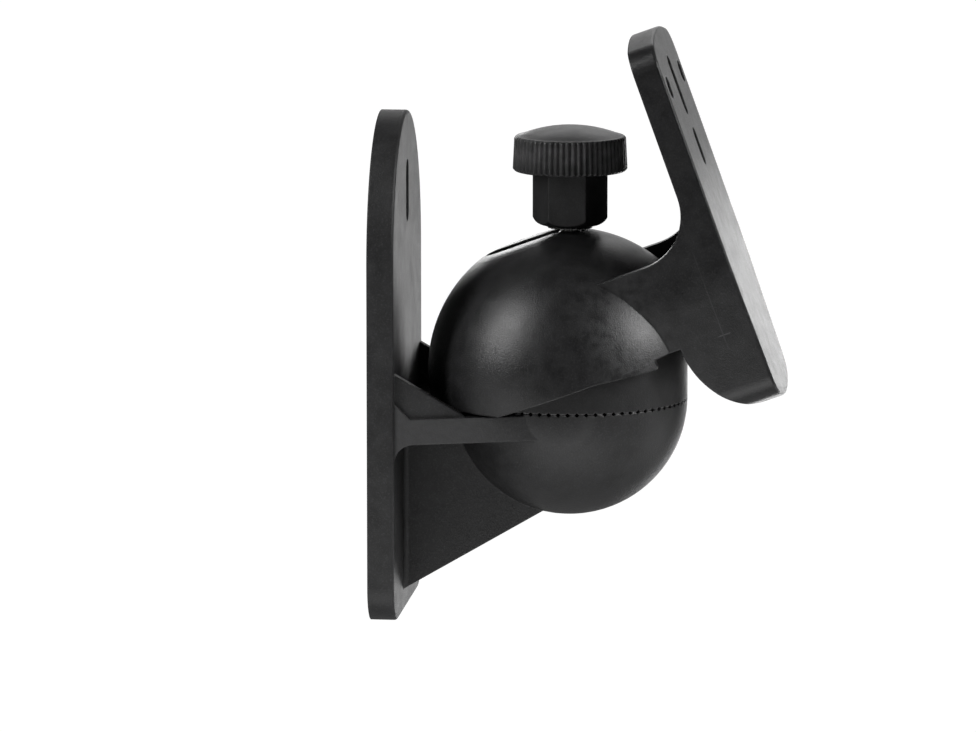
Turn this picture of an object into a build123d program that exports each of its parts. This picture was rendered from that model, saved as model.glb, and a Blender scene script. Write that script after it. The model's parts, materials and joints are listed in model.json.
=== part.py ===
"""Speaker wall bracket: toothed cup on a wall plate, swivel core, domed arm with a speaker plate, thumb knob.

Frame: the origin lies on the wall plate's back face, on the centre plane, level with the cup's toothed rim.
+X leaves the wall, +Z is up. The bracket is modelled with the speaker plate tilted up to its stop.
"""

import math
import os

from build123d import *

# Main axes, in millimetres and degrees
PAN_REACH = 41.5  # wall to the vertical pan axis
TILT_HEIGHT = 6.0  # cup rim to the horizontal tilt axis
TILT_UP = 20.0  # the arm's tilt as modelled, its upper stop
TILT_DOWN = 10.0  # lower stop, below level

# Wall plate
WALL_PLATE_WIDTH = 51.0
WALL_PLATE_THICKNESS = 5.8
WALL_PLATE_ABOVE = 62.5  # cup rim to the plate's upper end
WALL_PLATE_BELOW = 47.1  # cup rim to the plate's lower end
WALL_PLATE_ARCH = 31.5  # height of the elliptical upper end
WALL_PLATE_CORNER = 8.0
WALL_PLATE_EDGE = 0.7  # rounding of the front edge
WALL_SLOT_LENGTH = 13.6
WALL_SLOT_WIDTH = 4.6
WALL_SLOT_UPPER = 45.0  # height of the upper slot's middle
WALL_SLOT_LOWER = -33.0  # height of the lower slot's middle
BACK_RIM = 2.6  # wall left around the pockets in the plate's back
BACK_POCKET_DEPTH = 3.2
BACK_RIB = 2.4
BACK_RIB_LEVELS = (32.0, 14.0, -2.7, -24.0)

# Shelf, rails and gusset
SHELF_HEIGHT = 5.5
SHELF_FALL = 1.95  # the shelf runs down from the cup rim to the plate
SHELF_SKIN = 2.6
RAIL_SPREAD = 49.6  # over the outer faces of the two rails
RAIL_THICKNESS = 3.0
RAIL_CHAMFER = 3.6  # small gusset where a rail's top meets the plate
RAIL_FILLET = 4.4  # hollow under a rail at the plate
RIB_LENGTH = 15.7
RIB_RISE = 7.9  # above the cup rim, at the plate
RIB_THICKNESS = 2.0
RIB_INSET = 0.8  # from a rail's outer face
WEB_SPREAD = 16.0  # over the outer faces of the gusset's two webs
WEB_THICKNESS = 2.8
WEB_FOOT = 42.2  # cup rim to the webs' lower end at the plate
WEB_ANGLE = 30.4  # slope of the webs' lower edge
WEB_FILLET = 1.2

# Cup and teeth
CUP_RADIUS = 25.8
CUP_WALL = 3.2
TOOTH_COUNT = 80
TOOTH_WIDTH = 1.0
TOOTH_DEPTH = 0.4
TOOTH_RING = 5.0  # radial width of the toothed rims
RIM_THICKNESS = 3.0
BOSS_RADIUS = 7.0
BOSS_TOP = 8.0  # below the cup rim

# Swivel core
CORE_WALL = 3.2
CORE_BOSS_RADIUS = 6.0
CORE_BOSS_LIFT = 2.0  # boss end above the cup rim
CORE_RIB_COUNT = 6
CORE_RIB = 2.0

# Dome and arm, measured in the arm's own frame from the tilt axis
DOME_RADIUS = 31.0
DOME_WALL = 3.0
DOME_FLAT_DROP = 1.35  # how far the flat lies below the round dome's top
DOME_FLAT = DOME_RADIUS - DOME_FLAT_DROP  # height of the flat on the dome's top
DOME_FLAT_BLEND = 10.0  # rounding between flat and dome
DOME_SKIRT = 1.55  # the dome's rim below the tilt axis
LIP_DROP = 2.0  # the short lip that hangs below the rim beside each cheek
LIP_END = 21.1
LIP_LENGTH = 13.1
DOME_SLOT_WIDTH = 7.0
ARM_WALL = 2.8
ARM_TOP = 17.8
ARM_FILLET = 12.0
CHIN_RADIUS = 19.8
CHIN_START = 26.9
SPEAKER_REACH = 43.4  # tilt axis to the speaker plate's front face
SPEAKER_PLATE_WIDTH = 41.6
SPEAKER_PLATE_FOOT = 33.4  # width between the lower corners
SPEAKER_TAPER_START = 10.0  # height where the sides start to close toward the foot
SPEAKER_TAPER_BEND = 40.0  # radius of that bend
SPEAKER_PLATE_THICKNESS = 5.9
SPEAKER_PLATE_ABOVE = 64.3
SPEAKER_PLATE_BELOW = 20.2
SPEAKER_PLATE_CROWN = 3.0  # rise of the gently arched ends
SPEAKER_PLATE_CORNER = 6.0
SPEAKER_PLATE_EDGE = 0.6  # rounding of the front edge
SPEAKER_SLOT_WIDTH = 4.6
UPPER_SLOT_DROP = 13.2  # plate's upper end to the upper slot's middle
UPPER_SLOT_HEIGHT = SPEAKER_PLATE_ABOVE - UPPER_SLOT_DROP  # middle of the upper slot
UPPER_SLOT_LENGTH = 13.6
LOWER_SLOT_DROP = 27.3  # plate's upper end to the lower slot's middle
LOWER_SLOT_HEIGHT = SPEAKER_PLATE_ABOVE - LOWER_SLOT_DROP  # middle of the lower slot
LOWER_SLOT_LENGTH = 8.65
SPEAKER_HOLE_SPREAD = 31.0
SPEAKER_HOLE_RADIUS = 2.5
SPEAKER_HOLE_DROP = 11.9  # plate's upper end to the side holes
SPEAKER_HOLE_HEIGHT = SPEAKER_PLATE_ABOVE - SPEAKER_HOLE_DROP

# Knob, screw, nut and washer
SCREW_RADIUS = 2.5
SCREW_TIP = 2.0  # screw end below the nut
SCREW_HEAD_FLATS = 8.0
SCREW_HEAD_HEIGHT = 3.5
NUT_FLATS = 8.0
NUT_HEIGHT = 4.0
NUT_SEAT = 13.0  # below the cup rim
WASHER_RADIUS = 4.9
WASHER_THICKNESS = 0.6
WASHER_TEETH = 22
WASHER_TOOTH_DEPTH = 0.8
HUB_FLATS = 14.2  # across the hexagonal hub
HUB_HEIGHT = 12.1
HUB_ROUND = 1.6  # height of the rounded lower end
HUB_NECK = 0.2  # round neck below it
HUB_FOOT_RADIUS = 4.8
HEAD_RADIUS = 12.5
HEAD_TAPER = 0.3  # the head is this much smaller in radius at its shoulder
HEAD_HEIGHT = 7.6
HEAD_CROWN = 2.2
HEAD_EDGE = 0.9
FLUTE_COUNT = 60
FLUTE_DEPTH = 0.5
FLUTE_WIDTH = 0.95

# Clearances
SLIDE_GAP = 0.2  # dome on core
SEAT_GAP = 0.12  # core on cup, washer on dome
THREAD_GAP = 0.05
TURN_GAP = 0.05  # knob on washer
SCREW_GAP = 0.3  # screw in the holes it passes through
NUT_GAP = 0.08
SWEEP_GAP = 0.6  # fixed parts beside the dome's sweep
SHELF_GAP = 0.4  # dome's rear edge above the rails

# Places and sizes that follow from the values above
pan_axis = Pos(PAN_REACH, 0, 0)
tilt_point = Pos(PAN_REACH, 0, TILT_HEIGHT)
core_radius = DOME_RADIUS - DOME_WALL - SLIDE_GAP
tooth_inner = CUP_RADIUS - TOOTH_RING
rail_outer = RAIL_SPREAD / 2
rail_inner = rail_outer - RAIL_THICKNESS
shelf_slope = SHELF_FALL / (PAN_REACH - WALL_PLATE_THICKNESS)
speaker_back = SPEAKER_REACH - SPEAKER_PLATE_THICKNESS
chin_centre = CHIN_START + CHIN_RADIUS
washer_seat = TILT_HEIGHT + DOME_RADIUS + SEAT_GAP
hub_foot = washer_seat + WASHER_THICKNESS + TURN_GAP
head_foot = hub_foot + HUB_HEIGHT
head_shoulder = head_foot + HEAD_HEIGHT
screw_head_foot = head_foot - SCREW_HEAD_HEIGHT
screw_foot = -NUT_SEAT - NUT_HEIGHT - SCREW_TIP
far = 4 * DOME_RADIUS  # longer than any cut through the ball
upward = (Align.CENTER, Align.CENTER, Align.MIN)
downward = (Align.CENTER, Align.CENTER, Align.MAX)


def side_profile(*points):
    """Polygon of (x, z) points on the centre plane."""
    return Plane.XZ * Polygon(*points, align=None)


def pair(profile, inner, outer):
    """Two mirrored plates of one side profile, from y = inner to y = outer on each side."""
    plate = extrude(profile, amount=outer - inner, dir=(0, 1, 0))
    return Pos(0, inner, 0) * plate + Pos(0, -outer, 0) * plate


def outward(outline, depth):
    """Plate of an outline drawn in y and z, standing out along x."""
    return extrude(Plane.YZ * outline, amount=depth, dir=(1, 0, 0))


def hexagon(flats):
    return RegularPolygon(flats / 2, 6, major_radius=False)


def screw_hole():
    return Cylinder(SCREW_RADIUS + SCREW_GAP, 2 * far)


def tooth_grooves(level, depth):
    """Radial V grooves across a toothed rim, cut from the given level by the signed depth."""
    half = TOOTH_WIDTH / 2
    section = Plane.YZ * Polygon((-half, 0), (half, 0), (0, depth), align=None)
    groove = Pos(tooth_inner - 1, 0, level) * extrude(section, amount=TOOTH_RING + 2, dir=(1, 0, 0))
    return [Rot(0, 0, 360 / TOOTH_COUNT * i) * groove for i in range(TOOTH_COUNT)]


def wall_plate_outline(inset=0.0):
    """Plate outline in y and z: straight sides, elliptical top, rounded lower corners."""
    half = WALL_PLATE_WIDTH / 2 - inset
    spring = WALL_PLATE_ABOVE - WALL_PLATE_ARCH
    foot = -WALL_PLATE_BELOW + inset
    straight = Pos(0, (spring + foot) / 2) * Rectangle(2 * half, spring - foot)
    straight = fillet(straight.vertices().sort_by(Axis.Y)[:2], WALL_PLATE_CORNER - inset)
    return straight + Pos(0, spring) * Ellipse(half, WALL_PLATE_ARCH - inset)


def wall_plate():
    plate = outward(wall_plate_outline(), WALL_PLATE_THICKNESS)
    plate = fillet(plate.faces().sort_by(Axis.X)[-1].edges(), WALL_PLATE_EDGE)
    pockets = wall_plate_outline(BACK_RIM) - Rectangle(WEB_SPREAD, 2 * far)
    for level in BACK_RIB_LEVELS:
        pockets -= Pos(0, level) * Rectangle(2 * far, BACK_RIB)
    plate -= outward(pockets, BACK_POCKET_DEPTH)
    for level in (WALL_SLOT_UPPER, WALL_SLOT_LOWER):
        slot = Pos(0, level) * SlotOverall(WALL_SLOT_LENGTH, WALL_SLOT_WIDTH, rotation=90)
        plate -= outward(slot, WALL_PLATE_THICKNESS)
    return plate


def shelf_line(x):
    """Height of the shelf's top at a distance from the wall."""
    return shelf_slope * (x - PAN_REACH)


def shelf():
    """Shelf slab with open pockets underneath, between each rail and the gusset."""
    x = WALL_PLATE_THICKNESS
    top, end = shelf_line(x), PAN_REACH
    slab = side_profile((x, top), (end, 0), (end, -SHELF_HEIGHT), (x, top - SHELF_HEIGHT))
    pocket = side_profile((x, top - SHELF_SKIN), (end, -SHELF_SKIN), (end, -far), (x, -far))
    return extrude(slab, amount=rail_outer, both=True) - pair(pocket, WEB_SPREAD / 2, rail_inner)


def gusset():
    """Two upright webs from the plate's lower end to the cup, open between them."""
    x = WALL_PLATE_THICKNESS
    sunk = SHELF_SKIN / 2
    end = WEB_FOOT - (PAN_REACH - x) * math.tan(math.radians(WEB_ANGLE))
    profile = side_profile((x, shelf_line(x) - sunk), (PAN_REACH, -sunk), (PAN_REACH, -end), (x, -WEB_FOOT))
    return pair(profile, WEB_SPREAD / 2 - WEB_THICKNESS, WEB_SPREAD / 2)


def rail_roots():
    """Chamfered roots above the rails and hollow fillets below them, against the plate."""
    x = WALL_PLATE_THICKNESS
    top = shelf_line(x)
    upper = side_profile((x, top), (x + RAIL_CHAMFER, top), (x, top + RAIL_CHAMFER))
    end = x + RAIL_FILLET
    low = shelf_line(end) - SHELF_HEIGHT - RAIL_FILLET
    lower = side_profile((x, top - SHELF_SKIN), (end, top - SHELF_SKIN), (end, low), (x, low))
    lower -= Plane.XZ * Pos(end, low) * Circle(RAIL_FILLET)
    return pair(upper, rail_inner, rail_outer) + pair(lower, rail_inner, rail_outer)


def ribs():
    """Triangular ribs on the shelf, ended clear of the dome's sweep."""
    x = WALL_PLATE_THICKNESS
    end = x + RIB_LENGTH
    toe = shelf_line(end)
    sunk = SHELF_SKIN / 2
    profile = side_profile((x, RIB_RISE), (end, toe), (end, toe - sunk), (x, shelf_line(x) - sunk))
    outer = rail_outer - RIB_INSET
    return pair(profile, outer - RIB_THICKNESS, outer) - tilt_point * Sphere(DOME_RADIUS + SWEEP_GAP)


def cup_space():
    """Space inside the cup: a sphere below the toothed rim and its mouth, less the boss for the nut."""
    below_rim = Pos(0, 0, -RIM_THICKNESS) * Box(far, far, far, align=downward)
    space = Sphere(CUP_RADIUS - CUP_WALL) & below_rim
    space += Cylinder(tooth_inner, RIM_THICKNESS, align=downward)
    return space - Pos(0, 0, -BOSS_TOP) * Cylinder(BOSS_RADIUS, far, align=downward)


def wall_bracket():
    cup = pan_axis * (Sphere(CUP_RADIUS) & Box(far, far, far, align=downward))
    body = wall_plate() + shelf() + gusset() + cup + rail_roots() + ribs()
    web_roots = []
    for edge in body.edges().filter_by(Axis.Z):
        middle = edge.center()
        at_plate = abs(middle.X - WALL_PLATE_THICKNESS) < 0.01
        at_web = abs(abs(middle.Y) - WEB_SPREAD / 2) < 0.01
        if at_plate and at_web and middle.Z < -SHELF_HEIGHT:
            web_roots.append(edge)
    body = fillet(web_roots, WEB_FILLET)
    nut_pocket = extrude(Pos(0, 0, -NUT_SEAT) * hexagon(NUT_FLATS + 2 * NUT_GAP), amount=-CUP_RADIUS)
    body -= pan_axis * cup_space()
    body -= pan_axis * screw_hole()
    body -= pan_axis * nut_pocket
    return body - [pan_axis * groove for groove in tooth_grooves(0, -TOOTH_DEPTH)]


def swivel_core():
    """Round core: toothed rim below, upright wall, spherical top under the dome, boss and ribs inside."""
    rim_top = SEAT_GAP + RIM_THICKNESS
    centre = Pos(0, 0, TILT_HEIGHT)
    drum = Pos(0, 0, SEAT_GAP) * Cylinder(CUP_RADIUS, far, align=upward)
    core = drum & centre * Sphere(core_radius)
    drum_space = Pos(0, 0, rim_top) * Cylinder(CUP_RADIUS - CORE_WALL, far, align=upward)
    space = drum_space & centre * Sphere(core_radius - CORE_WALL)
    space += Cylinder(tooth_inner, rim_top, align=upward)
    space -= Pos(0, 0, CORE_BOSS_LIFT) * Cylinder(CORE_BOSS_RADIUS, far, align=upward)
    for i in range(CORE_RIB_COUNT):
        rib = Pos(0, 0, rim_top) * Box(far, CORE_RIB, far, align=(Align.MIN, Align.CENTER, Align.MIN))
        space -= Rot(0, 0, 360 / CORE_RIB_COUNT * (i + 0.5)) * rib
    core -= space
    core -= screw_hole()
    core -= tooth_grooves(SEAT_GAP, TOOTH_DEPTH)
    return pan_axis * core


def dome_limits():
    """Side view of what the dome keeps: rim, hanging lip and the level rear edge just above the rails."""
    slope = math.tan(math.radians(TILT_UP))
    reach = math.sqrt((DOME_RADIUS - DOME_WALL) ** 2 - rail_outer**2)
    rear = shelf_line(PAN_REACH - reach) + SHELF_GAP
    level = (rear - TILT_HEIGHT) / math.cos(math.radians(TILT_UP))
    return side_profile(
        (far, -DOME_SKIRT),
        (LIP_END, -DOME_SKIRT),
        (LIP_END, -DOME_SKIRT - LIP_DROP),
        (LIP_END - LIP_LENGTH, -DOME_SKIRT),
        ((level + DOME_SKIRT) / slope, -DOME_SKIRT),
        (-far, level + far * slope),
        (-far, 2 * far),
        (far, 2 * far),
    )


def dome_slot():
    """Slot along the tilt for the screw, from the upper stop to the lower one, with round ends."""
    half = DOME_SLOT_WIDTH / 2
    stops = (TILT_UP, -TILT_DOWN)
    points = [(far * math.sin(math.radians(a)), far * math.cos(math.radians(a))) for a in stops]
    cut = extrude(side_profile((0, 0), *points), amount=half, both=True)
    for angle in stops:
        cut += Rot(0, angle, 0) * Cylinder(half, far, align=upward)
    return cut


def speaker_plate_outline(inset=0.0):
    """Speaker plate outline in y and height: sides that close toward the foot, gently arched ends."""
    half = SPEAKER_PLATE_WIDTH / 2 - inset
    foot = SPEAKER_PLATE_FOOT / 2 - inset
    bend = SPEAKER_TAPER_START
    top = SPEAKER_PLATE_ABOVE - inset
    bottom = -SPEAKER_PLATE_BELOW + inset
    upper = top - SPEAKER_PLATE_CROWN
    lower = bottom + SPEAKER_PLATE_CROWN
    edges = [
        Line((-foot, lower), (-half, bend)),
        Line((-half, bend), (-half, upper)),
        ThreePointArc((-half, upper), (0, top), (half, upper)),
        Line((half, upper), (half, bend)),
        Line((half, bend), (foot, lower)),
        ThreePointArc((foot, lower), (0, bottom), (-foot, lower)),
    ]
    face = make_face(Curve() + edges)
    corners = [v for v in face.vertices() if abs(v.Y - bend) > 1]
    face = fillet(corners, SPEAKER_PLATE_CORNER - inset)
    bends = [v for v in face.vertices() if abs(v.Y - bend) < 0.01]
    return fillet(bends, SPEAKER_TAPER_BEND)


def speaker_openings():
    """Cutter for the speaker plate's two slots and two holes."""
    upper_slot = SlotOverall(UPPER_SLOT_LENGTH, SPEAKER_SLOT_WIDTH, rotation=90)
    lower_slot = SlotOverall(LOWER_SLOT_LENGTH, SPEAKER_SLOT_WIDTH, rotation=90)
    openings = Pos(0, UPPER_SLOT_HEIGHT) * upper_slot + Pos(0, LOWER_SLOT_HEIGHT) * lower_slot
    for y in (-SPEAKER_HOLE_SPREAD / 2, SPEAKER_HOLE_SPREAD / 2):
        openings += Pos(y, SPEAKER_HOLE_HEIGHT) * Circle(SPEAKER_HOLE_RADIUS)
    return Pos(speaker_back, 0, 0) * outward(openings, SPEAKER_PLATE_THICKNESS)


def arm_side_view():
    """Side view of cheeks, chin and plate: level top with a hollow up to the plate, rounded chin below."""
    root = DOME_RADIUS / 3
    half_turn = math.sin(math.radians(45))
    front = SPEAKER_REACH + SPEAKER_PLATE_EDGE
    foot = -DOME_SKIRT - math.sqrt(CHIN_RADIUS**2 - (chin_centre - front) ** 2)
    rise = ARM_FILLET * (1 - half_turn)
    hollow_start = (speaker_back - ARM_FILLET, ARM_TOP)
    hollow_middle = (speaker_back - rise, ARM_TOP + rise)
    hollow_end = (speaker_back, ARM_TOP + ARM_FILLET)
    chin_middle = (chin_centre - CHIN_RADIUS * half_turn, -DOME_SKIRT - CHIN_RADIUS * half_turn)
    edges = [
        Line((root, -DOME_SKIRT), (root, ARM_TOP)),
        Line((root, ARM_TOP), hollow_start),
        ThreePointArc(hollow_start, hollow_middle, hollow_end),
        Line(hollow_end, (speaker_back, far)),
        Line((speaker_back, far), (front, far)),
        Line((front, far), (front, foot)),
        ThreePointArc((front, foot), chin_middle, (CHIN_START, -DOME_SKIRT)),
        Line((CHIN_START, -DOME_SKIRT), (root, -DOME_SKIRT)),
    ]
    return Plane.XZ * make_face(Curve() + edges)


def speaker_arm():
    """Dome, cheeks, chin and speaker plate in one moulding, tilted to the upper stop."""
    dome = Sphere(DOME_RADIUS) - Pos(0, 0, DOME_FLAT) * Box(far, far, far, align=upward)
    dome = fillet(dome.edges().sort_by(Axis.Z)[-1], DOME_FLAT_BLEND)
    dome &= extrude(dome_limits(), amount=far, both=True)
    block = outward(speaker_plate_outline(), SPEAKER_REACH)
    block = fillet(block.faces().sort_by(Axis.X)[-1].edges(), SPEAKER_PLATE_EDGE)
    block &= extrude(arm_side_view(), amount=far, both=True)
    channel = Pos(chin_centre, -DOME_SKIRT) * Circle(CHIN_RADIUS - ARM_WALL)
    channel += Pos(0, ARM_WALL - DOME_SKIRT) * Rectangle(2 * far, far, align=(Align.CENTER, Align.MIN))
    trough = extrude(Plane.XZ * channel, amount=far, both=True)
    block -= trough & outward(speaker_plate_outline(ARM_WALL), speaker_back)
    arm = dome + block
    arm -= speaker_openings()
    arm -= Sphere(DOME_RADIUS - DOME_WALL)
    arm -= dome_slot()
    return tilt_point * Rot(0, -TILT_UP, 0) * arm


def clamp_screw():
    shank = Pos(0, 0, screw_foot) * Cylinder(SCREW_RADIUS, screw_head_foot - screw_foot, align=upward)
    shank = chamfer(shank.edges().sort_by(Axis.Z)[0], SCREW_RADIUS / 4)
    head = extrude(Pos(0, 0, screw_head_foot) * hexagon(SCREW_HEAD_FLATS), amount=SCREW_HEAD_HEIGHT)
    return pan_axis * (shank + head)


def knob():
    """Thumb knob: crowned, fluted head over a hexagonal hub with a rounded lower end."""
    shoulder = HEAD_RADIUS - HEAD_TAPER
    crown_rim = shoulder - HEAD_EDGE
    crown_radius = (crown_rim**2 + HEAD_CROWN**2) / (2 * HEAD_CROWN)
    head_top = head_shoulder + HEAD_CROWN
    crown_middle = (crown_rim / 2, head_top - crown_radius + math.sqrt(crown_radius**2 - crown_rim**2 / 4))
    shoulder_middle = (shoulder - 0.25 * HEAD_EDGE, head_shoulder - 0.25 * HEAD_EDGE)
    head_edges = [
        Line((0, head_foot), (HEAD_RADIUS - HEAD_EDGE / 2, head_foot)),
        Line((HEAD_RADIUS - HEAD_EDGE / 2, head_foot), (HEAD_RADIUS, head_foot + HEAD_EDGE / 2)),
        Line((HEAD_RADIUS, head_foot + HEAD_EDGE / 2), (shoulder, head_shoulder - HEAD_EDGE)),
        ThreePointArc((shoulder, head_shoulder - HEAD_EDGE), shoulder_middle, (crown_rim, head_shoulder)),
        ThreePointArc((crown_rim, head_shoulder), crown_middle, (0, head_top)),
        Line((0, head_top), (0, head_foot)),
    ]
    head = revolve(Plane.XZ * make_face(Curve() + head_edges), Axis.Z)
    section = Polygon((-FLUTE_DEPTH, 0), (FLUTE_DEPTH, -FLUTE_WIDTH), (FLUTE_DEPTH, FLUTE_WIDTH), align=None)
    taper = math.degrees(math.atan2(HEAD_TAPER, HEAD_HEIGHT))
    flute = Rot(0, -taper, 0) * extrude(section, amount=HEAD_HEIGHT, both=True)
    flute = Pos(HEAD_RADIUS, 0, head_foot) * flute
    head -= [Rot(0, 0, 360 / FLUTE_COUNT * i) * flute for i in range(FLUTE_COUNT)]
    corner = HUB_FLATS / math.sqrt(3)
    spread = corner - HUB_FOOT_RADIUS
    neck_top = hub_foot + HUB_NECK
    round_middle = (HUB_FOOT_RADIUS + 0.71 * spread, neck_top + 0.29 * HUB_ROUND)
    hub_edges = [
        Line((0, hub_foot), (HUB_FOOT_RADIUS, hub_foot)),
        Line((HUB_FOOT_RADIUS, hub_foot), (HUB_FOOT_RADIUS, neck_top)),
        ThreePointArc((HUB_FOOT_RADIUS, neck_top), round_middle, (corner, neck_top + HUB_ROUND)),
        Line((corner, neck_top + HUB_ROUND), (corner, head_foot)),
        Line((corner, head_foot), (0, head_foot)),
        Line((0, head_foot), (0, hub_foot)),
    ]
    hub = revolve(Plane.XZ * make_face(Curve() + hub_edges), Axis.Z)
    hub &= extrude(Pos(0, 0, hub_foot) * hexagon(HUB_FLATS), amount=HUB_HEIGHT)
    return pan_axis * (head + hub) - clamp_screw()


def captive_nut():
    """Hexagon nut with bevelled corners, held in the pocket under the cup."""
    nut = extrude(Pos(0, 0, -NUT_SEAT) * hexagon(NUT_FLATS), amount=-NUT_HEIGHT)
    blank = Pos(0, 0, -NUT_SEAT) * Cylinder(NUT_FLATS / math.sqrt(3), NUT_HEIGHT, align=downward)
    nut &= chamfer(blank.edges().filter_by(GeomType.CIRCLE), NUT_FLATS / 20)
    return pan_axis * (nut - Cylinder(SCREW_RADIUS + THREAD_GAP, 2 * far))


def lock_washer():
    """Thin washer with V notches all round its edge."""
    notch_half = math.pi * WASHER_RADIUS / WASHER_TEETH / 2
    ring = Circle(WASHER_RADIUS) - Circle(SCREW_RADIUS + SCREW_GAP)
    tip = WASHER_RADIUS - WASHER_TOOTH_DEPTH
    outer = WASHER_RADIUS + WASHER_TOOTH_DEPTH
    notch = Polygon((tip, 0), (outer, -2 * notch_half), (outer, 2 * notch_half), align=None)
    ring -= [Rot(0, 0, 360 / WASHER_TEETH * i) * notch for i in range(WASHER_TEETH)]
    return pan_axis * Pos(0, 0, washer_seat) * extrude(ring, amount=WASHER_THICKNESS)


os.makedirs("parts", exist_ok=True)
export_step(wall_bracket(), "parts/wall_bracket.step")
export_step(swivel_core(), "parts/swivel_core.step")
export_step(speaker_arm(), "parts/speaker_arm.step")
export_step(knob(), "parts/knob.step")
export_step(clamp_screw(), "parts/clamp_screw.step")
export_step(captive_nut(), "parts/captive_nut.step")
export_step(lock_washer(), "parts/lock_washer.step")
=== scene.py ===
import json
import math

import bpy
import numpy as np
from mathutils import Matrix, Vector


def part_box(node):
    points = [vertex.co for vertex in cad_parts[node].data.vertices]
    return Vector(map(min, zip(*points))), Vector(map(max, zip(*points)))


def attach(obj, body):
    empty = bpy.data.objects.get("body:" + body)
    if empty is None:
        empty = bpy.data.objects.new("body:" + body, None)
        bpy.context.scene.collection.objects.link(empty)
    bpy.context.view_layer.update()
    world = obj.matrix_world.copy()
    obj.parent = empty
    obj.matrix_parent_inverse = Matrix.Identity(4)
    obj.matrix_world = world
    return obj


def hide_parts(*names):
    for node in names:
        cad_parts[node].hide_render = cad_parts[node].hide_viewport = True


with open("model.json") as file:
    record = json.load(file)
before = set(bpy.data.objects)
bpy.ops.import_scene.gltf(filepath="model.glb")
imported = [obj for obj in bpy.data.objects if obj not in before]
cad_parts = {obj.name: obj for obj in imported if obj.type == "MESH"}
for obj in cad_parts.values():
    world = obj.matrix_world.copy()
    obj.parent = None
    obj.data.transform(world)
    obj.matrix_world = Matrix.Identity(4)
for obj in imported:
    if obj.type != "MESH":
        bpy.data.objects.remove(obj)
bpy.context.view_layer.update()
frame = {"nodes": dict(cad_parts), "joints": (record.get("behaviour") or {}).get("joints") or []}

# Wall bracket: one injection moulding in black plastic, screwed flat to the wall through its slots.
# The spark-eroded mould leaves a fine even grain; the toothed rim is rubbed paler. The rail faces are
# painted lighter as painted light, and this painted highlight fades onto the cup beside the rail ends, over
# the shading step there.

joint_places = {joint["name"]: joint.get("pos_m") for joint in frame["joints"]}
pan_x = joint_places["pan"][0]


def add(tree, kind, values, **settings):
    """New node in a shader tree; a value that is another node's output is linked, any other is set."""
    node = tree.nodes.new(kind)
    for name, setting in settings.items():
        setattr(node, name, setting)
    for key, value in values.items():
        if isinstance(value, bpy.types.NodeSocket):
            tree.links.new(value, node.inputs[key])
        else:
            node.inputs[key].default_value = value
    return node


def reckon(tree, operation, *values):
    """Result of one Math node on the values."""
    return add(tree, "ShaderNodeMath", dict(enumerate(values)), operation=operation).outputs["Value"]


def ramp(tree, value, start, end, low=0.0, high=1.0, curve="LINEAR"):
    """Low while the value is short of start, high once it is past end, and a slope between them."""
    limits = {"Value": value, "From Min": start, "From Max": end, "To Min": low, "To Max": high}
    return add(tree, "ShaderNodeMapRange", limits, interpolation_type=curve).outputs["Result"]


def mixed_colour(tree, share, first, second):
    """First colour, moved toward the second one by the share."""
    values = {"Factor": share, "A": first, "B": second}
    return add(tree, "ShaderNodeMix", values, data_type="RGBA").outputs["Result"]


def piece_noise(tree, scale, detail, roughness=0.5):
    """Noise in the piece's own coordinates, with about as many bumps to the metre as the scale says."""
    place = add(tree, "ShaderNodeTexCoord", {}).outputs["Object"]
    values = {"Vector": place, "Scale": scale, "Detail": detail, "Roughness": roughness}
    return add(tree, "ShaderNodeTexNoise", values).outputs["Fac"]


def node_group(name, inputs, outputs):
    """Empty node group with the given inputs, each with its kind and starting value, and outputs."""
    group = bpy.data.node_groups.new(name, "ShaderNodeTree")
    for label, (kind, value) in inputs.items():
        group.interface.new_socket(label, in_out="INPUT", socket_type=kind).default_value = value
    for label, kind in outputs.items():
        group.interface.new_socket(label, in_out="OUTPUT", socket_type=kind)
    return group


def moulded_grain_group():
    """Fine grain as height, cloudy sheen as roughness, faint mottling and dust in the grain as colour."""
    group = node_group(
        "moulded_grain",
        {
            "Plastic": ("NodeSocketColor", (0.01, 0.01, 0.01, 1.0)),
            "Dust": ("NodeSocketColor", (0.03, 0.03, 0.03, 1.0)),
            "Grain": ("NodeSocketFloat", 2200.0),
            "Rough": ("NodeSocketFloat", 0.4),
            "Spread": ("NodeSocketFloat", 0.1),
        },
        {"Color": "NodeSocketColor", "Roughness": "NodeSocketFloat", "Height": "NodeSocketFloat"},
    )
    cloud_scale = 260.0
    patch_dust, speck_dust = 0.25, 0.5
    grain_sheen = 0.16
    given = group.nodes.new("NodeGroupInput").outputs
    grain = piece_noise(group, given["Grain"], 3.0, 0.6)
    cloud = piece_noise(group, cloud_scale, 5.0, 0.6)
    patch = ramp(group, cloud, 0.35, 0.7)
    specks = ramp(group, grain, 0.52, 0.75, high=speck_dust)
    dusty = reckon(group, "MULTIPLY_ADD", patch, patch_dust, specks)
    colour = mixed_colour(group, dusty, given["Plastic"], given["Dust"])
    fine = reckon(group, "MULTIPLY_ADD", grain, grain_sheen, -grain_sheen / 2)
    base = reckon(group, "ADD", fine, given["Rough"])
    sheen = reckon(group, "MULTIPLY_ADD", patch, given["Spread"], base)
    add(group, "NodeGroupOutput", {"Color": colour, "Roughness": sheen, "Height": grain})
    return group


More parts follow.
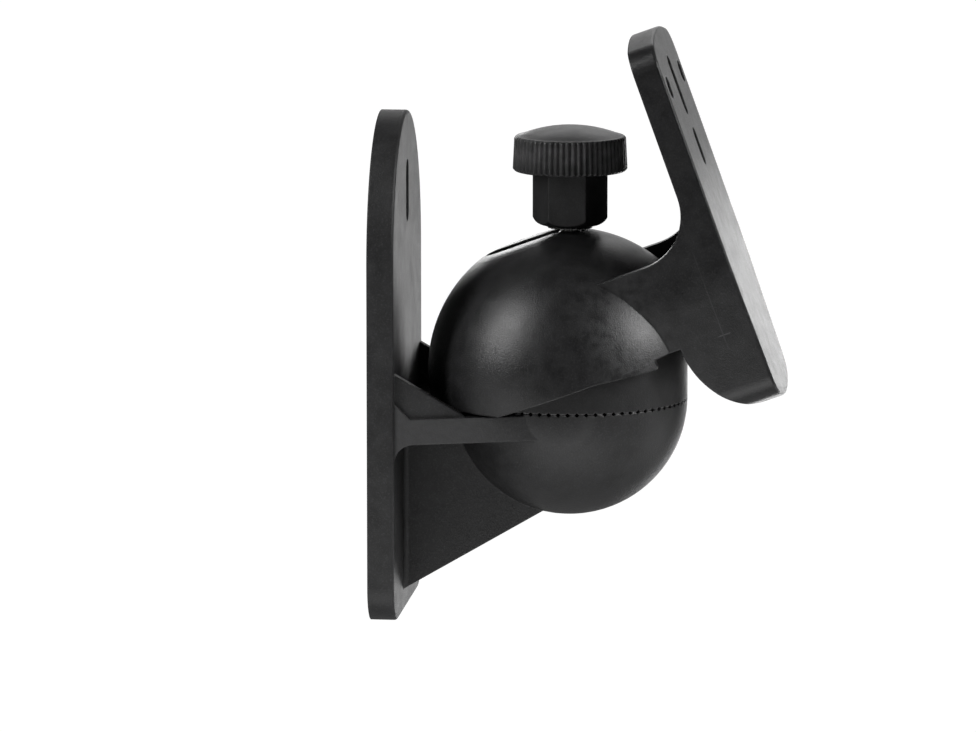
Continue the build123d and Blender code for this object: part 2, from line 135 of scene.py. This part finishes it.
def worn_and_lit_band_group():
    """Mask of a band of the moulding: a worn or marked band, or one that carries painted light.

    It is one at the place Level along Axis, and falls to nothing at Half Width on either side. Round the
    upright pan axis it sets in over the length Fade from the radius Clear, and stops at the radius Reach.
    Noise with Break bumps to the metre opens gaps in it, as deep as Broken.
    """
    group = node_group(
        "worn_and_lit_band",
        {
            "Axis": ("NodeSocketVector", (0.0, 0.0, 1.0)),
            "Level": ("NodeSocketFloat", 0.0),
            "Half Width": ("NodeSocketFloat", 0.0003),
            "Clear": ("NodeSocketFloat", 0.0),
            "Reach": ("NodeSocketFloat", 0.026),
            "Fade": ("NodeSocketFloat", 0.0006),
            "Break": ("NodeSocketFloat", 900.0),
            "Broken": ("NodeSocketFloat", 1.0),
        },
        {"Mask": "NodeSocketFloat"},
    )
    level_part = (1.0, 1.0, 0.0)
    to_pan_axis = (-pan_x, 0.0, 0.0)
    given = group.nodes.new("NodeGroupInput").outputs
    place = add(group, "ShaderNodeTexCoord", {}).outputs["Object"]
    along = add(group, "ShaderNodeVectorMath", {
        0: place, 1: given["Axis"]}, operation="DOT_PRODUCT").outputs["Value"]
    away = reckon(group, "ABSOLUTE", reckon(group, "SUBTRACT", along, given["Level"]))
    band = ramp(group, away, 0.0, given["Half Width"], low=1.0, high=0.0, curve="SMOOTHSTEP")
    flat = add(group, "ShaderNodeVectorMath", {
        0: place, 1: level_part, 2: to_pan_axis}, operation="MULTIPLY_ADD").outputs["Vector"]
    radius = add(group, "ShaderNodeVectorMath", {0: flat}, operation="LENGTH").outputs["Value"]
    inside = reckon(group, "LESS_THAN", radius, given["Reach"])
    past = reckon(group, "SUBTRACT", radius, given["Clear"])
    fade = ramp(group, past, 0.0, given["Fade"])
    whole = reckon(group, "SUBTRACT", 1.0, given["Broken"])
    gaps = ramp(group, piece_noise(group, given["Break"], 3.0), 0.36, 0.6, low=whole)
    ring = reckon(group, "MULTIPLY", inside, fade)
    worn = reckon(group, "MULTIPLY", band, gaps)
    add(group, "NodeGroupOutput", {"Mask": reckon(group, "MULTIPLY", worn, ring)})
    return group


moulded_grain = moulded_grain_group()
worn_and_lit_band = worn_and_lit_band_group()


def moulded_plastic(name, plastic, dust, rough, spread, grain, depth, bands):
    """Black moulded plastic with softened edges; each band, worn, marked or painted light, lies paler on
    its grain.

    An entry of bands has the paler colour and the values of the worn and lit band group.
    """
    edge_radius = 0.0005
    material = bpy.data.materials.new(name)
    material.use_nodes = True
    tree = material.node_tree
    shader = tree.nodes["Principled BSDF"]
    texture = add(tree, "ShaderNodeGroup", {
        "Plastic": (*plastic, 1.0), "Dust": (*dust, 1.0), "Grain": grain, "Rough": rough, "Spread": spread},
        node_tree=moulded_grain).outputs
    colour = texture["Color"]
    for pale, values in bands:
        mask = add(tree, "ShaderNodeGroup", values, node_tree=worn_and_lit_band).outputs["Mask"]
        colour = mixed_colour(tree, mask, colour, (*pale, 1.0))
    edges = add(tree, "ShaderNodeBevel", {"Radius": edge_radius}, samples=6).outputs["Normal"]
    bump = add(tree, "ShaderNodeBump", {
        "Strength": 0.5, "Distance": depth, "Height": texture["Height"], "Normal": edges}).outputs["Normal"]
    tree.links.new(colour, shader.inputs["Base Color"])
    tree.links.new(texture["Roughness"], shader.inputs["Roughness"])
    tree.links.new(bump, shader.inputs["Normal"])
    return material


def dress(name, material):
    """Give a carried-over piece its finish."""
    piece = frame["nodes"][name]
    piece.data.materials.clear()
    piece.data.materials.append(material)


# Pale colour of the dome's scuffs, and also of the painted light on the rails.
pale_scuff_and_painted_light = (0.046, 0.046, 0.047)
rail_face = 0.0248
rim_wear = ((0.2, 0.2, 0.2), {"Level": 0.00006, "Half Width": 0.00034, "Reach": 0.0263})
# Painted light: the rail faces are painted paler for light falling on them, fading onto the cup beside the
# rail ends as a painted highlight over the shading step.
rail_painted_light = [
    (pale_scuff_and_painted_light, {
        "Axis": (0.0, 1.0, 0.0), "Level": level, "Half Width": 0.0006,
        "Clear": 0.0225, "Reach": 0.0432, "Fade": 0.009, "Broken": 0.2})
    for level in (-rail_face, rail_face)
]
dress("wall_bracket", moulded_plastic(
    "bracket_plastic", plastic=(0.009, 0.009, 0.0094), dust=(0.05, 0.05, 0.0515),
    rough=0.47, spread=0.08, grain=2800.0, depth=0.00013, bands=[rim_wear, *rail_painted_light]))

# Captive nut: a plated steel hexagon nut, pressed into the pocket under the cup so that it can't turn.
# Zinc plating over coarse-cut faces, bright in some places and dull in others.


def plated_steel(name, bright, dull, rough):
    """Plated steel: noise moves the colour between bright and dull plating, and the roughness with it."""
    plating_scale = 1500.0
    smoother, rougher = 0.08, 0.12
    material = bpy.data.materials.new(name)
    material.use_nodes = True
    tree = material.node_tree
    shader = tree.nodes["Principled BSDF"]
    shader.inputs["Metallic"].default_value = 1.0
    streaks = piece_noise(tree, plating_scale, 4.0)
    tone = mixed_colour(tree, streaks, (*bright, 1.0), (*dull, 1.0))
    sheen = ramp(tree, streaks, 0.0, 1.0, low=rough - smoother, high=rough + rougher)
    tree.links.new(tone, shader.inputs["Base Color"])
    tree.links.new(sheen, shader.inputs["Roughness"])
    return material


dress("captive_nut", plated_steel("nut_zinc", bright=(0.5, 0.5, 0.49), dull=(0.3, 0.3, 0.29), rough=0.36))

# Swivel core: a black moulded ball that turns on the cup's teeth and carries the dome.
# Same plastic as the bracket, with its dust colour darker all over as painted shade for the dome's shadow
# on it; its toothed rim is rubbed pale.

dress("swivel_core", moulded_plastic(
    "core_plastic", plastic=(0.009, 0.009, 0.0095), dust=(0.026, 0.026, 0.027),
    rough=0.47, spread=0.08, grain=2800.0, depth=0.0001, bands=[rim_wear]))

# Speaker arm: dome, cheeks, chin and speaker plate in one black moulding, held down by the knob.
# The mould halves part at the dome's rim, and leave a pale broken witness line there and on the cheeks.
# A sink line shows the back of the plate, and the dome is scuffed pale on the side next to it.

modelled_tilt = math.radians(20.0)
tilt_z = joint_places["tilt"][2]
arm_up = (-math.sin(modelled_tilt), 0.0, math.cos(modelled_tilt))
arm_out = (math.cos(modelled_tilt), 0.0, math.sin(modelled_tilt))
dome_level = pan_x * arm_up[0] + tilt_z * arm_up[2]
dome_middle = pan_x * arm_out[0] + tilt_z * arm_out[2]
dome_reach = 0.0322
rim_drop = 0.00155
scuffs_out = 0.017
plate_back_out = 0.0367
witness_pale = (0.06, 0.06, 0.062)
witness = {"Axis": arm_up, "Level": dome_level - rim_drop, "Half Width": 0.00022}
rim_line = (witness_pale, {**witness, "Reach": dome_reach, "Break": 260.0})
cheek_line = (witness_pale, {**witness, "Clear": 0.0386, "Reach": 0.0412, "Break": 150.0})
sink_line = ((0.035, 0.035, 0.036), {
    "Axis": arm_out, "Level": dome_middle + plate_back_out, "Half Width": 0.0002,
    "Reach": 0.0407, "Break": 150.0})
rim_scuffs = (pale_scuff_and_painted_light, {
    "Axis": arm_out, "Level": dome_middle + scuffs_out, "Half Width": 0.011,
    "Clear": 0.021, "Reach": dome_reach, "Fade": 0.009, "Break": 520.0})
dress("speaker_arm", moulded_plastic(
    "arm_plastic", plastic=(0.008, 0.008, 0.0084), dust=(0.042, 0.042, 0.0432),
    rough=0.31, spread=0.07, grain=3400.0, depth=0.00012,
    bands=[rim_scuffs, rim_line, cheek_line, sink_line]))

# Lock washer: a stamped spring-steel washer with twisted teeth that bite between knob and dome.
# Blackened steel, rubbed bright in places.

washer_low, washer_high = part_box("lock_washer")
washer_middle = (washer_low.z + washer_high.z) / 2


def lock_washer_surface(teeth, per_tooth):
    """Closed section carried round the pan axis.

    The outer radius steps between root and tip tooth by tooth, and the section's height is turned in
    proportion to the angle within the tooth and to the distance past the root, so each tooth is twisted.
    """
    bore, root, tip, half = 0.0028, 0.0041, 0.0049, 0.00018
    tooth_half, tooth_flank = 0.36, 0.1
    twist_lift, twist_start = 0.00022, root - 0.0004
    turn = np.linspace(0.0, 2 * np.pi, teeth * per_tooth, endpoint=False)[:, None]
    within = (turn * teeth / (2 * np.pi)) % 1.0 - 0.5
    step = np.clip((tooth_half - np.abs(within)) / tooth_flank, 0.0, 1.0)
    share = np.array([0.0, 0.4, 0.75, 1.0, 1.0, 0.75, 0.4, 0.0])[None, :]
    side = np.array([-1.0, -1.0, -1.0, -0.6, 0.6, 1.0, 1.0, 1.0])[None, :]
    reach = root + (tip - root) * step
    radius = bore + (reach - bore) * share
    twist = twist_lift * within * np.clip((radius - twist_start) / (tip - root), 0.0, 1.0)
    height = washer_middle + half * side + twist
    return np.stack([pan_x + radius * np.cos(turn), radius * np.sin(turn), height], axis=-1)


def ring_mesh(name, grid, capped):
    """Mesh of a grid whose rows run round an axis; its section is closed, or else capped at both ends."""
    rows, cols = grid.shape[:2]
    i, j = np.meshgrid(np.arange(rows), np.arange(cols - 1 if capped else cols), indexing="ij")
    ahead, beside = (i + 1) % rows, (j + 1) % cols
    faces = np.stack([i * cols + j, ahead * cols + j, ahead * cols + beside, i * cols + beside], axis=-1)
    faces = faces.reshape(-1, 4).tolist()
    if capped:
        faces.append((np.arange(rows)[::-1] * cols).tolist())
        faces.append((np.arange(rows) * cols + cols - 1).tolist())
    mesh = bpy.data.meshes.new(name)
    mesh.from_pydata(grid.reshape(-1, 3).tolist(), [], faces)
    mesh.update()
    return mesh


washer_mesh = ring_mesh("toothed_washer", lock_washer_surface(teeth=22, per_tooth=14), capped=False)
washer_mesh.materials.append(
    plated_steel("washer_steel", bright=(0.6, 0.6, 0.59), dull=(0.08, 0.08, 0.08), rough=0.3))
washer = bpy.data.objects.new("toothed_washer", washer_mesh)
bpy.context.scene.collection.objects.link(washer)
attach(washer, "washer")
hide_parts("lock_washer")

# Clamp screw: an M5 steel screw moulded into the knob by its hexagon head.
# It runs down through washer, dome slot and core into the captive nut, with a rolled thread.

screw_low, screw_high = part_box("clamp_screw")
screw_foot = screw_low.z
screw_top = screw_high.z


def clamp_screw_surface(columns, rows_per_turn):
    """Radius over angle and height: a triangle wave along the helix for the thread, bevelled at the foot.

    From the head's foot upward the radius is that of a hexagon eight millimetres across flats.
    """
    pitch, outer, depth, bevel = 0.0008, 0.0025, 0.00046, 0.0006
    half_flats, head_height = 0.004, 0.0035
    head_foot = screw_top - head_height
    rows = int(round((head_foot - screw_foot) / pitch * rows_per_turn))
    levels = np.concatenate([np.linspace(screw_foot, head_foot, rows), [head_foot, screw_top]])
    angles = np.linspace(0.0, 2 * np.pi, columns, endpoint=False)
    turn, height = np.meshgrid(angles, levels, indexing="ij")
    wave = (height - screw_foot) / pitch - turn / (2 * np.pi)
    thread = outer - depth * np.abs(2.0 * (wave % 1.0) - 1.0)
    shank = np.minimum(thread, outer - bevel + (height - screw_foot))
    corner = (turn + np.pi / 6) % (np.pi / 3) - np.pi / 6
    head = half_flats / np.cos(corner)
    radius = np.where(np.arange(len(levels)) >= rows, head, shank)
    return np.stack([pan_x + radius * np.cos(turn), radius * np.sin(turn), height], axis=-1)


screw_mesh = ring_mesh("threaded_screw", clamp_screw_surface(columns=48, rows_per_turn=6), capped=True)
screw_mesh.materials.append(
    plated_steel("screw_zinc", bright=(0.5, 0.5, 0.49), dull=(0.28, 0.28, 0.27), rough=0.32))
screw = bpy.data.objects.new("threaded_screw", screw_mesh)
bpy.context.scene.collection.objects.link(screw)
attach(screw, "knob")
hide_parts("clamp_screw")

# Knob: a black thumb knob moulded over the screw head, with a fluted rim and a hexagonal hub.
# A denser, slightly shinier plastic than the bracket, rubbed paler on the flutes by fingers and painted
# lighter there as painted highlight.

# Flute band: finger wear, and painted highlight in blotches for the light the flutes catch.
flute_wear_and_highlight = ((0.07, 0.07, 0.071), {
    "Level": 0.0545, "Half Width": 0.0052, "Clear": 0.0112, "Reach": 0.0135, "Break": 420.0, "Broken": 0.7})
dress("knob", moulded_plastic(
    "knob_plastic", plastic=(0.014, 0.014, 0.0145), dust=(0.045, 0.045, 0.046),
    rough=0.32, spread=0.1, grain=2800.0, depth=0.0001, bands=[flute_wear_and_highlight]))

# Studio: a pale floor below the bracket, a backdrop behind it and soft boxes and cards of light round it.
# The camera sees backdrop and surroundings white; in gloss the backdrop glows only behind the bracket.

floor_z = -1.0
backdrop_y = 1.8
backdrop_top = 3.0
sheet_end = 9.0
white = (1.0, 1.0, 1.0, 1.0)


def staged_sheet(name, corners, grey):
    """Flat sheet of the studio with a matt grey paint; gives back its material's tree."""
    mesh = bpy.data.meshes.new(name)
    mesh.from_pydata(corners, [], [(0, 1, 2, 3)])
    sheet = bpy.data.objects.new(name, mesh)
    bpy.context.scene.collection.objects.link(sheet)
    paint = bpy.data.materials.new(name + "_paint")
    paint.use_nodes = True
    mesh.materials.append(paint)
    shader = paint.node_tree.nodes["Principled BSDF"]
    shader.inputs["Base Color"].default_value = (grey, grey, grey, 1.0)
    shader.inputs["Roughness"].default_value = 0.9
    shader.inputs["Emission Color"].default_value = white
    return paint.node_tree


seen_floor, mirrored_floor = 0.84, 0.12
tree = staged_sheet("floor", [
    (-sheet_end, -sheet_end, floor_z), (sheet_end, -sheet_end, floor_z),
    (sheet_end, backdrop_y, floor_z), (-sheet_end, backdrop_y, floor_z)], 0.8)
ray = add(tree, "ShaderNodeLightPath", {}).outputs
mirrored = reckon(tree, "MULTIPLY", ray["Is Glossy Ray"], mirrored_floor)
lit = reckon(tree, "MULTIPLY_ADD", ray["Is Camera Ray"], seen_floor, mirrored)
tree.links.new(lit, tree.nodes["Principled BSDF"].inputs["Emission Strength"])

glow_place = (0.0, backdrop_y, -0.1)
glow_inner, glow_outer = 0.35, 0.85
glow_high, glow_low = 0.95, 0.1
tree = staged_sheet("backdrop", [
    (-sheet_end, backdrop_y, floor_z), (sheet_end, backdrop_y, floor_z),
    (sheet_end, backdrop_y, backdrop_top), (-sheet_end, backdrop_y, backdrop_top)], 0.1)
place = add(tree, "ShaderNodeTexCoord", {}).outputs["Object"]
away = add(tree, "ShaderNodeVectorMath", {0: place, 1: glow_place}, operation="DISTANCE").outputs["Value"]
glow = ramp(tree, away, glow_inner, glow_outer, low=glow_high, high=glow_low, curve="SMOOTHSTEP")
ray = add(tree, "ShaderNodeLightPath", {}).outputs
lit = reckon(tree, "MULTIPLY_ADD", ray["Is Glossy Ray"], glow, ray["Is Camera Ray"])
tree.links.new(lit, tree.nodes["Principled BSDF"].inputs["Emission Strength"])

world = bpy.data.worlds.new("studio")
bpy.context.scene.world = world
world.use_nodes = True
tree = world.node_tree
ambient = tree.nodes["Background"]
ambient.inputs["Color"].default_value = (0.11, 0.11, 0.11, 1.0)
clear_white = add(tree, "ShaderNodeBackground", {"Color": white}).outputs["Background"]
ray = add(tree, "ShaderNodeLightPath", {}).outputs
viewed = add(tree, "ShaderNodeMixShader", {
    "Fac": ray["Is Camera Ray"], 1: ambient.outputs["Background"], 2: clear_white}).outputs["Shader"]
tree.links.new(viewed, tree.nodes["World Output"].inputs["Surface"])

photo_width = 976.0
focal_pixels = 6250.0
aside, above, distance = -0.01787, 0.000634, 1.3673
azimuth, elevation = math.radians(6.3), math.radians(9.3)
level = math.cos(elevation)
back = Vector((math.sin(azimuth) * level, -math.cos(azimuth) * level, math.sin(elevation)))
right = Vector((math.cos(azimuth), math.sin(azimuth), 0.0))
up = back.cross(right)
ball = Vector(joint_places["tilt"])
camera_data = bpy.data.cameras.new("camera")
camera_data.sensor_width = 36.0
camera_data.lens = focal_pixels / photo_width * camera_data.sensor_width
camera_data.clip_end = 50.0
camera = bpy.data.objects.new("camera", camera_data)
eye = ball + aside * right + above * up + distance * back
camera.matrix_world = Matrix.Translation(eye) @ Matrix((right, up, back)).transposed().to_4x4()
bpy.context.scene.collection.objects.link(camera)
bpy.context.scene.camera = camera


def soft_box(name, place, aim, width, height, watts):
    """Area lamp at a place, turned to face another one."""
    data = bpy.data.lights.new(name, "AREA")
    data.shape = "RECTANGLE"
    data.size = width
    data.size_y = height
    data.energy = watts
    lamp = bpy.data.objects.new(name, data)
    lamp.location = place
    lamp.rotation_euler = (Vector(place) - Vector(aim)).to_track_quat("Z", "Y").to_euler()
    lamp.visible_camera = False
    bpy.context.scene.collection.objects.link(lamp)


soft_box("left_box", (-0.613, -0.388, 0.486), ball, width=0.16, height=0.58, watts=4.9)
soft_box("right_box", (0.801, -0.171, 0.457), ball, width=0.38, height=0.38, watts=5.2)
soft_box("back_box", (0.02, 0.8, 0.5), (pan_x, 0.0, 0.06), width=0.5, height=0.25, watts=0.7)
soft_box("rear_card", (-0.03, 0.2, 0.065), (0.02, 0.0, 0.03), width=0.06, height=0.04, watts=0.036)
soft_box("back_card", (0.13, 0.3, -0.08), (0.09, 0.0, -0.01), width=0.09, height=0.22, watts=0.17)
soft_box("right_card", (0.48, 0.12, -0.2), ball, width=0.3, height=0.3, watts=0.36)
soft_box("low_left_card", (-0.3, -0.3, -0.16), ball, width=0.3, height=0.2, watts=0.22)
soft_box("front_card", (0.06, -0.14, -0.13), ball, width=0.25, height=0.1, watts=0.14)

bpy.context.scene.view_settings.view_transform = "Standard"
